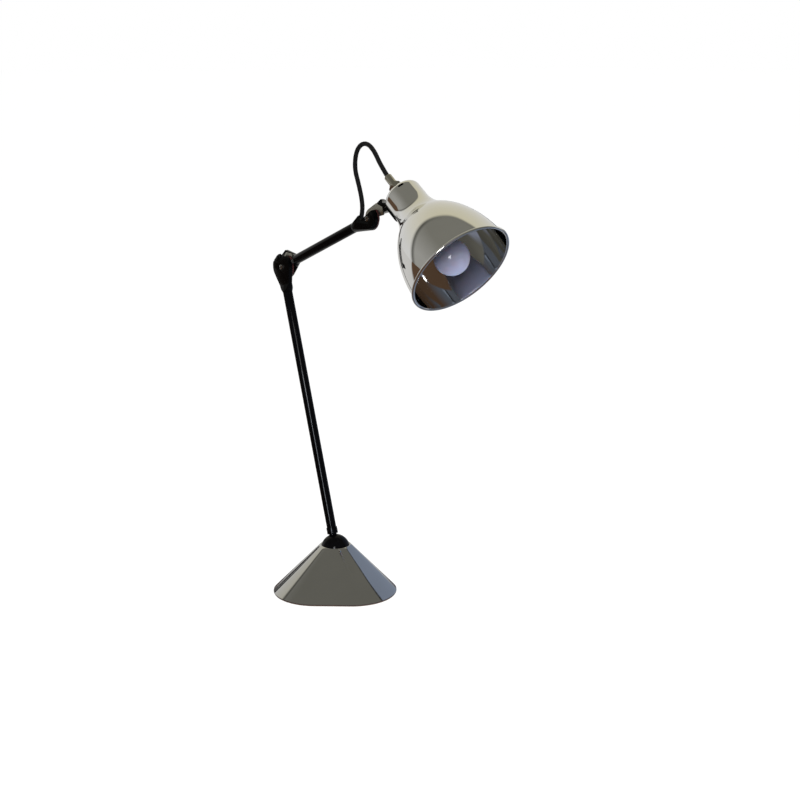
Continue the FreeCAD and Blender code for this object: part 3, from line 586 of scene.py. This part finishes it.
def filletTurn():
    # where the neck fillet touches the bell
    low, high = 0.0, math.pi / 2
    wanted = shadeForm["neckRadius"] + shadeForm["neckFillet"]
    halvings = 60
    for step in range(halvings):
        middle = (low + high) / 2
        if bellPoint(middle, shadeForm["neckFillet"]).x < wanted:
            low = middle
        else:
            high = middle
    return low


def arcPoints(centre, radius, first, last, steps):
    turns = [first + (last - first) * step / steps for step in range(steps + 1)]
    return [(centre[0] + radius * math.cos(turn), centre[1] + radius * math.sin(turn)) for turn in turns]


def shadeWall(inset):
    # neck, fillet and bell from the hole in the neck to the rim, moved in by inset
    neck = shadeForm["neckRadius"]
    edge = shadeForm["neckEdge"]
    fillet = shadeForm["neckFillet"]
    touch = filletTurn()
    centre = bellPoint(touch, fillet)
    meet = bellPoint(touch)
    leave = math.atan2(meet.y - centre.y, meet.x - centre.x) % (2 * math.pi)
    rimTurn = math.acos(shadeForm["bellPastMouth"] / shadeForm["bellLength"])
    points = [(shadeForm["hole"], inset)]
    points += arcPoints((neck - edge, edge), edge - inset, -math.pi / 2, 0, shadeForm["neckSteps"])
    points += arcPoints(centre, fillet + inset, math.pi, leave, shadeForm["neckSteps"])
    steps = shadeForm["bellSteps"]
    for step in range(1, steps + 1):
        points.append(tuple(bellPoint(touch + (rimTurn - touch) * step / steps, -inset)))
    return points


def shadeProfile():
    # the rim is rolled outwards into a bead
    bead = shadeForm["bead"]
    centre = (shadeForm["mouthRadius"] + shadeForm["beadPastWall"], shadeForm["length"] - bead / 2)
    seam = math.sqrt(bead ** 2 - shadeForm["beadPastWall"] ** 2)
    outside = [point for point in shadeWall(0) if point[1] < centre[1] - seam]
    inside = [point for point in shadeWall(shadeForm["wall"]) if point[1] < shadeForm["length"]]
    start = math.atan2(-seam, -shadeForm["beadPastWall"])
    lip = [(shadeForm["mouthRadius"] - shadeForm["wall"], shadeForm["length"])]
    rolled = arcPoints(centre, bead, start, shadeForm["beadEnd"], shadeForm["beadSteps"])
    return outside + rolled + lip + inside[::-1]


ventForm = {"count": 4, "length": 8.0 * mm, "width": 3.4 * mm, "depth": 3.0 * mm,
            "lean": math.radians(84.0), "turn": math.radians(127.0), "endSteps": 12}


def ventTool():
    # a slot-shaped punch that stands square to the neck's rounded shoulder
    half = (ventForm["length"] - ventForm["width"]) / 2
    radius = ventForm["width"] / 2
    steps = ventForm["endSteps"]
    outline = arcPoints((half, 0), radius, -math.pi / 2, math.pi / 2, steps)
    outline += arcPoints((-half, 0), radius, math.pi / 2, 3 * math.pi / 2, steps)
    work = bmesh.new()
    rings = []
    for height in (-ventForm["depth"], ventForm["depth"]):
        rings.append([work.verts.new((x, y, height)) for x, y in outline])
    bridge(work, rings[0], rings[1])
    for ring in rings:
        work.faces.new(ring)
    drop = shadeForm["neckEdge"] * (1 - math.cos(ventForm["lean"]))
    place = Matrix.Translation((0, 0, drop)) @ Matrix.Rotation(-ventForm["lean"], 4, "X")
    tool = bpy.data.objects.new("ventTool", meshFrom(work, "ventTool", place))
    scene.collection.objects.link(tool)
    return tool


def ventTree():
    # punches placed round the axis and cut from the shade
    inputs = {"Punch": "Object", "Count": "Int", "Distance": "Float", "Turn": "Float", "Finish": "Material"}
    tree, given = nodeGroup("shadeVents", inputs)
    ring = tree.node("GeometryNodeMeshCircle", {},
                     {"Vertices": given["Count"], "Radius": given["Distance"]})
    quarter = math.pi / 2
    angle = tree.node("GeometryNodeInputIndex") * (2 * math.pi) / given["Count"] + quarter
    turn = tree.node("ShaderNodeCombineXYZ", {}, {"Z": angle})
    punch = tree.node("GeometryNodeObjectInfo", {}, {"Object": given["Punch"]}, output="Geometry")
    placed = tree.node("GeometryNodeInstanceOnPoints", {},
                       {"Points": ring, "Instance": punch, "Rotation": turn})
    whole = tree.node("GeometryNodeRealizeInstances", {}, {"Geometry": placed})
    spin = tree.node("ShaderNodeCombineXYZ", {}, {"Z": given["Turn"] + quarter})
    turned = tree.node("GeometryNodeTransform", {}, {"Geometry": whole, "Rotation": spin})
    cut = tree.node("GeometryNodeMeshBoolean", {"operation": "DIFFERENCE", "solver": "EXACT"},
                    {"Mesh 1": given["Geometry"], "Mesh 2": turned})
    endGroup(tree, cut, given["Finish"])
    return tree


def makeShade():
    spun = lathe("shadeBlank", shadeProfile(), Matrix(), shadeForm["segments"])
    blank = bpy.data.objects.new("shadeBlank", spun)
    scene.collection.objects.link(blank)
    tool = ventTool()
    distance = shadeForm["neckRadius"] - shadeForm["neckEdge"] * (1 - math.sin(ventForm["lean"]))
    values = {"Punch": tool, "Count": ventForm["count"], "Distance": distance, "Turn": ventForm["turn"],
              "Finish": finishes["shade_chrome"]}
    mesh = runTree(blank, ventTree(), values)
    bpy.data.objects.remove(blank)
    bpy.data.objects.remove(tool)
    work = bmesh.new()
    work.from_mesh(mesh)
    mesh = meshFrom(work, "bellShade", shadeFrame)
    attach(keepPiece("bell_shade", mesh, "shade_chrome", "shade"), "head")


makeShade()
print("shade spun, with", ventForm["count"], "vents")


# Base: three flat sides between oblique cones, up to the mouth round the ball
baseForm = {"turn": math.radians(17.0), "sides": 3, "cornerDistance": 29.0 * mm,
            "cornerRadius": 61.8 * mm, "foot": 1.0 * mm, "footWall": 3.0 * mm, "hem": 1.5 * mm,
            "edge": 0.7 * mm, "mouthHeight": 64.5 * mm, "mouthOuter": 21.56 * mm,
            "mouthInner": 19.86 * mm, "landCrown": 0.25 * mm, "landShares": (0.1, 0.25, 0.5, 0.75, 1.0),
            "seatRadius": 20.9 * mm, "seatDrops": (1.0 * mm, 2.5 * mm), "wallAcross": 4.0 * mm,
            "innerShares": (0.88, 0.5, 0.06), "arcSteps": 48, "flatSteps": 12, "edgeSteps": 6, "levels": 40}


def baseRing(work, inset, share, height):
    # one ring at a share of the way from the foot to the mouth
    ring = []
    pitch = 2 * math.pi / baseForm["sides"]
    for corner in range(baseForm["sides"]):
        middle = baseForm["turn"] + pitch * corner
        for step in range(baseForm["arcSteps"]):
            turn = middle + pitch * (step / baseForm["arcSteps"] - 0.5)
            ring.append(basePoint(middle, turn, inset, share))
        end = basePoint(middle, middle + pitch / 2, inset, share)
        following = basePoint(middle + pitch, middle + pitch / 2, inset, share)
        for step in range(baseForm["flatSteps"]):
            ring.append(end.lerp(following, step / baseForm["flatSteps"]))
    return [work.verts.new((point.x, point.y, height)) for point in ring]


def basePoint(middle, turn, inset, share):
    # a point of the corner whose middle is given, at a turn round the corner's own centre
    reach = (1 - share) * (baseForm["cornerRadius"] - inset) + share * (baseForm["mouthOuter"] - inset)
    distance = (1 - share) * baseForm["cornerDistance"]
    return Vector((distance * math.cos(middle) + reach * math.cos(turn),
                   distance * math.sin(middle) + reach * math.sin(turn)))


def makeBase():
    work = bmesh.new()
    foot = baseForm["foot"]
    hemTop = foot + baseForm["hem"]
    top = baseForm["mouthHeight"]
    edge = baseForm["edge"]
    rings = [baseRing(work, baseForm["footWall"], 0, foot)]
    for step in range(baseForm["edgeSteps"] + 1):
        turn = math.pi / 2 * step / baseForm["edgeSteps"]
        rings.append(baseRing(work, edge * (1 - math.sin(turn)), 0, foot + edge * (1 - math.cos(turn))))
    for step in range(baseForm["levels"]):
        share = step / baseForm["levels"]
        rings.append(baseRing(work, 0, share, hemTop + share * (top - hemTop)))
    land = baseForm["mouthOuter"] - baseForm["mouthInner"]
    for share in baseForm["landShares"]:
        drop = baseForm["landCrown"] * (2 * share - 1) ** 2
        rings.append(baseRing(work, share * land, 1, top - drop))
    for drop in baseForm["seatDrops"]:
        height = top - drop
        radius = math.sqrt(baseForm["seatRadius"] ** 2 - (height - ballCentre.z) ** 2)
        rings.append(baseRing(work, baseForm["mouthOuter"] - radius, 1, height))
    for share in baseForm["innerShares"]:
        rings.append(baseRing(work, baseForm["wallAcross"], share, hemTop + share * (top - hemTop)))
    for lower, upper in zip(rings, rings[1:] + rings[:1]):
        bridge(work, lower, upper)
    mesh = meshFrom(work, "chromeBase")
    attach(keepPiece("chrome_base", mesh, "polished_chrome", "base_shell"), "base")


makeBase()
print("base formed")


# Round pieces: ball, collar, tubes and bulb
lowerFrame = axisFrame(ballCentre, elbowPivot - ballCentre)
upperFrame = axisFrame(elbowPivot, headPivot - elbowPivot)
ballForm = {"radius": 20.6 * mm, "stemRadius": 5.45 * mm, "stemEnd": 46.0 * mm, "bore": 3.1 * mm,
            "funnel": 8.0 * mm, "arcSteps": 56, "segments": 96}
collarForm = {"radius": 7.7 * mm, "bore": 6.8 * mm, "start": 21.4 * mm, "end": 30.5 * mm, "edge": 0.5 * mm,
              "segments": 64}
tubeForm = {"radius": 6.75 * mm, "bore": 5.55 * mm, "edge": 0.2 * mm, "fromKnuckle": 36.0 * mm,
            "segments": 64}
bulbForm = {"fromMouth": 21.8 * mm, "radius": 23.0 * mm, "neckRadius": 9.0 * mm, "neckLength": 14.0 * mm,
            "neckBlend": 9.0 * mm, "blendSteps": 14, "globeSteps": 48, "segments": 96}


def makeBall():
    radius = ballForm["radius"]
    stem = ballForm["stemRadius"]
    mouth = math.asin(ballForm["funnel"] / radius)
    seat = math.asin(stem / radius)
    points = arcPoints((0, 0), radius, mouth - math.pi / 2, math.pi / 2 - seat, ballForm["arcSteps"])
    points += [(stem, ballForm["stemEnd"]), (ballForm["bore"], ballForm["stemEnd"]), (ballForm["bore"], 0)]
    mesh = lathe("swivelBall", points, lowerFrame, ballForm["segments"])
    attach(keepPiece("swivel_ball", mesh, "ball_black", "ball"), "ball")


def makeSleeve(name, node, form, place, start, end):
    # a bored length of tube with eased ends
    points = [(form["bore"], start), (form["radius"], start), (form["radius"], end), (form["bore"], end)]
    mesh = lathe(name, eased(points, form["edge"]), place, form["segments"])
    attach(keepPiece(name, mesh, "arm_black", node), bodyOf[node])


def makeBulb():
    centre = shadeForm["length"] - bulbForm["fromMouth"]
    radius = bulbForm["radius"]
    blend = bulbForm["neckBlend"]
    across = bulbForm["neckRadius"] + blend
    drop = math.sqrt((radius + blend) ** 2 - across ** 2)
    flare = math.atan2(drop, across)
    foot = centre - radius - bulbForm["neckLength"]
    points = [(0, foot), (bulbForm["neckRadius"], foot)]
    points += arcPoints((across, centre - drop), blend, math.pi, math.pi - flare, bulbForm["blendSteps"])
    points += arcPoints((0, centre), radius, -flare, math.pi / 2, bulbForm["globeSteps"])[1:-1]
    points.append((0, centre + radius))
    mesh = lathe("globeBulb", points, shadeFrame, bulbForm["segments"])
    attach(keepPiece("globe_bulb", mesh, "frosted_glass", "bulb_globe"), "head")


makeBall()
clear = tubeForm["fromKnuckle"]
lowerEnd = (elbowPivot - ballCentre).length - clear
upperEnd = (headPivot - elbowPivot).length - clear
makeSleeve("arm_collar", "collar", collarForm, lowerFrame, collarForm["start"], collarForm["end"])
makeSleeve("lower_rod", "lower_tube", tubeForm, lowerFrame, collarForm["start"], lowerEnd)
makeSleeve("upper_rod", "upper_tube", tubeForm, upperFrame, clear, upperEnd)
makeBulb()
print("round pieces turned")


# Castings, plates and small pieces, dressed from the frame: each finish with its edge radius and nodes
dressed = {
    "knuckle_black": (0.5 * mm, ["lower_knuckle", "upper_elbow_knuckle", "upper_head_knuckle",
                                 "head_bracket"]),
    "bright_plate": (0.15 * mm, ["elbow_friction_plate", "head_friction_plate"]),
    "fibre": (0.15 * mm, ["elbow_washer", "head_washer"]),
    "screw_steel": (0.2 * mm, ["elbow_screw", "head_screw", "elbow_nut", "head_nut", "elbow_spring_washer",
                               "head_spring_washer", "saddle_screws"]),
    "set_screw_steel": (0.1 * mm, ["collar_set_screw"]),
    "plate_screw_steel": (0.2 * mm, ["plate_screws"]),
    "nickel": (0.12 * mm, ["cap_nut", "cord_gland", "lamp_washer"]),
    "black_rubber": (0.3 * mm, ["inlet_grommet", "cord_outlet"]),
    "base_felt": (0.2 * mm, ["base_felt"]),
    "base_steel": (0.3 * mm, ["base_plate"]),
    "ballast_iron": (0, ["base_ballast"]),
    "terminal_plastic": (0.4 * mm, ["terminal_block"]),
    "spring_steel": (0.2 * mm, ["pressure_spring"]),
    "cup_plastic": (0.4 * mm, ["pressure_cup"]),
    "lead_black": (0, ["lower_lead", "upper_lead", "head_lead"]),
    "brass_thread": (0.2 * mm, ["nipple"]),
    "holder_black": (0.5 * mm, ["lampholder", "holder_skirt"]),
    "bulb_brass": (0.3 * mm, ["bulb_cap"]),
}
for slot, (edge, members) in dressed.items():
    for member in members:
        dressNode(member, slot, edge)
print("castings dressed:", sum(len(members) for edge, members in dressed.values()))


# Stage
panelTurn = math.radians(136.0)  # which way the pale panel stands
floorForm = {"size": 80.0, "colour": (0.88, 0.88, 0.87), "glowShare": 0.6, "glowStrength": 1.35,
             "brown": (0.11, 0.066, 0.04), "grey": (0.13, 0.145, 0.18), "brownToGrey": (-0.25, 0.25),
             "far": (0.66, 0.65, 0.63), "farSpread": 0.3, "farFade": (0.03, 0.18)}


def makeFloor():
    # white to the camera, and toned to what is polished
    half = floorForm["size"] / 2
    corners = [(-half, -half, 0), (half, -half, 0), (half, half, 0), (-half, half, 0)]
    mesh = bpy.data.meshes.new("floor")
    mesh.from_pydata(corners, [], [(0, 1, 2, 3)])
    floor = bpy.data.objects.new("floor", mesh)
    scene.collection.objects.link(floor)
    finish = Finish("paleFloor", Roughness=0.8, Specular_IOR_Level=0.0, Base_Color=(*floorForm["colour"], 1))
    rays = finish.node("ShaderNodeLightPath", output="Is Camera Ray")
    glow = finish.node("ShaderNodeEmission", {},
                       {"Color": (1, 1, 1, 1), "Strength": floorForm["glowStrength"]})
    lit = Signal(finish, finish.shader.outputs["BSDF"])
    shown = finish.node("ShaderNodeMixShader", {}, {0: rays * floorForm["glowShare"], 1: lit, 2: glow})
    across = finish.node("ShaderNodeSeparateXYZ", {}, {"Vector": finish.place})
    deep = finish.other(across, "Y")
    toPanel = across * math.cos(panelTurn) + deep * math.sin(panelTurn)
    greyer = finish.grade(deep, 0, 1, *floorForm["brownToGrey"])
    near = finish.mix(greyer, floorForm["brown"], floorForm["grey"])
    beyond = toPanel - (across * across + deep * deep).maths("SQRT") * floorForm["farSpread"]
    toned = finish.mix(finish.grade(beyond, 0, 1, *floorForm["farFade"]), near, floorForm["far"])
    mirrored = finish.node("ShaderNodeEmission", {}, {"Color": toned})
    glossy = finish.other(rays, "Is Glossy Ray")
    whole = finish.node("ShaderNodeMixShader", {}, {0: glossy, 1: shown, 2: mirrored})
    finish.feed(finish.tree.nodes["Material Output"].inputs["Surface"], whole)
    mesh.materials.append(finish.material)


# Each fade runs between its two values
roomForm = {"fill": 0.55, "high": (0.205, 0.2, 0.172), "left": (0.36, 0.355, 0.33),
            "right": (0.11, 0.105, 0.09), "leftToRight": (-0.4, 0.6), "lowToHigh": (0.25, 0.75),
            "panelLow": (0.74, 0.735, 0.72), "panelHigh": (0.66, 0.62, 0.46), "panelRise": (0.1, 0.9),
            "panelHalf": math.radians(71.5), "panelTop": math.radians(66.0), "panelFade": (0.9, 1.12),
            "edge": (0.03, 0.028, 0.022), "edgeShare": 0.6, "edgeIn": (1.0, 1.12), "edgeOut": (1.2, 1.4),
            "edgeTop": (0.7, 0.95), "window": (0.26, 0.28, 0.36), "windowTurn": math.radians(-55.0),
            "windowSide": (0.6, 0.8), "windowRise": (0.25, 0.5)}


def lightWorld():
    # white to the camera, an even fill on the object, and toned walls to what is polished
    world = bpy.data.worlds.new("studio")
    world.use_nodes = True
    scene.world = world
    tree = Tree(world.node_tree)
    rays = tree.node("ShaderNodeLightPath", output="Is Camera Ray")
    glossy = tree.other(rays, "Is Glossy Ray")
    shown = (rays + tree.other(rays, "Is Transmission Ray")).maths("MINIMUM", 1.0)
    place = tree.node("ShaderNodeTexCoord", output="Generated")
    across = tree.node("ShaderNodeSeparateXYZ", {}, {"Vector": place})
    deep = tree.other(across, "Y")
    height = tree.other(across, "Z")
    level = (across * across + deep * deep).maths("SQRT") + 0.001  # never zero overhead

    def towards(turn):
        return (across * math.cos(turn) + deep * math.sin(turn)) / level

    def fade(signal, span, low=0, high=1):
        return tree.grade(signal, low, high, *roomForm[span])

    rise = height.maths("ARCSINE")
    aside = towards(panelTurn).maths("ARCCOSINE") / roomForm["panelHalf"]
    lifted = rise.maths("MAXIMUM", 0.0) / roomForm["panelTop"]
    outside = aside * aside * aside + lifted * lifted * lifted  # 1 along the panel's rounded outline
    panel = tree.mix(fade(height, "panelRise"), roomForm["panelLow"], roomForm["panelHigh"])
    window = (fade(towards(roomForm["windowTurn"]), "windowSide")
              * fade(rise.maths("ABSOLUTE"), "windowRise", 1, 0))
    sides = tree.mix(fade(across, "leftToRight"), roomForm["left"], roomForm["right"])
    walls = tree.mix(fade(height, "lowToHigh", 1, 0), roomForm["high"], sides)
    room = tree.mix(window, walls, roomForm["window"])
    edge = fade(outside, "edgeIn") * fade(outside, "edgeOut", 1, 0) * fade(height, "edgeTop", 1, 0)
    lined = tree.mix(edge * roomForm["edgeShare"], room, roomForm["edge"])
    mirrored = tree.mix(fade(outside, "panelFade", 1, 0), lined, panel)
    background = world.node_tree.nodes["Background"]
    tree.feed(background.inputs["Color"], tree.mix(glossy * (1 - shown), (1, 1, 1), mirrored))
    unlit = (1 - shown) * (1 - glossy) * roomForm["fill"]
    tree.feed(background.inputs["Strength"], shown + glossy.maths("MAXIMUM", shown) * (1 - shown) + unlit)


lampForm = {
    "key": {"power": 26.0, "place": (1.2, -0.4, 1.9), "aim": (0, 0, 0.3), "width": 1.2, "height": 1.2,
            "colour": (1, 1, 1), "mirrored": False},
    "low": {"power": 5.0, "place": (1.1, 0.3, 0.12), "aim": (0.235, 0, 0.5), "width": 0.5, "height": 0.5,
            "colour": (0.75, 0.85, 1), "mirrored": False},
    "under": {"power": 1.6, "place": (0.3, 0.0, 0.03), "aim": (0.235, 0, 0.5), "width": 0.2, "height": 0.2,
              "colour": (0.7, 0.82, 1), "mirrored": False},
    "spark": {"power": 4.5, "place": (0.97, -1.07, 0.73), "aim": (0.235, 0, 0.5), "width": 0.36,
              "height": 0.36, "colour": (1, 1, 1), "mirrored": True},
    "strip": {"power": 18.0, "place": (1.0, -1.2, 0.34), "aim": (-0.05, 0, 0.26), "width": 0.2,
              "height": 0.7, "colour": (0.85, 0.92, 1), "mirrored": True,
              "only": ["lower_rod", "swivel_ball", "arm_collar"]},
}
nearBlack = (0.006, 0.006, 0.007)
cardForm = {
    "blueCard": {"corners": [(0.31, 0.44, 0), (-0.26, 0.45, 0), (-0.26, 0.45, 0.52), (0.31, 0.44, 0.52)],
                 "colour": (0.30, 0.35, 0.45)},
    "blueEdge": {"corners": [(0.35, 0.447, 0), (-0.26, 0.457, 0), (-0.26, 0.457, 0.57),
                             (0.35, 0.447, 0.57)], "colour": (0.02, 0.02, 0.02)},
    "farEdge": {"corners": [(-2.0, -0.2, 0), (-2.0, 0.04, 0), (-2.0, 0.04, 0.1), (-2.0, -0.2, 0.1)],
                "colour": nearBlack},
    "farLeft": {"corners": [(-2.0, 0.04, 0), (-1.97, 0.22, 0), (-1.97, 0.22, 0.58), (-2.0, 0.04, 0.66)],
                "colour": nearBlack},
    "farRight": {"corners": [(-1.96, 0.26, 0), (-1.9, 0.5, 0), (-1.9, 0.5, 0.3), (-1.96, 0.26, 0.5)],
                 "colour": nearBlack},
}


def hangLamp(name, form):
    data = bpy.data.lights.new(name, "AREA")
    data.energy = form["power"]
    data.color = form["colour"]
    data.shape = "RECTANGLE"
    data.size = form["width"]
    data.size_y = form["height"]
    lamp = bpy.data.objects.new(name, data)
    lamp.location = form["place"]
    lamp.rotation_mode = "QUATERNION"
    lamp.rotation_quaternion = (Vector(form["aim"]) - Vector(form["place"])).to_track_quat("-Z", "Y")
    lamp.visible_camera = False
    lamp.visible_glossy = form["mirrored"]
    lamp.visible_diffuse = not form["mirrored"]
    if "only" in form:
        lit = bpy.data.collections.new(name + "Lit")
        for piece in form["only"]:
            lit.objects.link(bpy.data.objects[piece])
        lamp.light_linking.receiver_collection = lit
    scene.collection.objects.link(lamp)


def standCard(name, form):
    # a card beside the stage, seen only in what is polished
    mesh = bpy.data.meshes.new(name)
    mesh.from_pydata(form["corners"], [], [(0, 1, 2, 3)])
    card = bpy.data.objects.new(name, mesh)
    scene.collection.objects.link(card)
    finish = Finish(name, Base_Color=(0, 0, 0, 1), Specular_IOR_Level=0.0,
                    Emission_Color=(*form["colour"], 1), Emission_Strength=1.0)
    mesh.materials.append(finish.material)
    card.visible_camera = False
    card.visible_diffuse = False
    card.visible_shadow = False


makeFloor()
lightWorld()
for name, form in lampForm.items():
    hangLamp(name, form)
for name, form in cardForm.items():
    standCard(name, form)
print("stage lit")
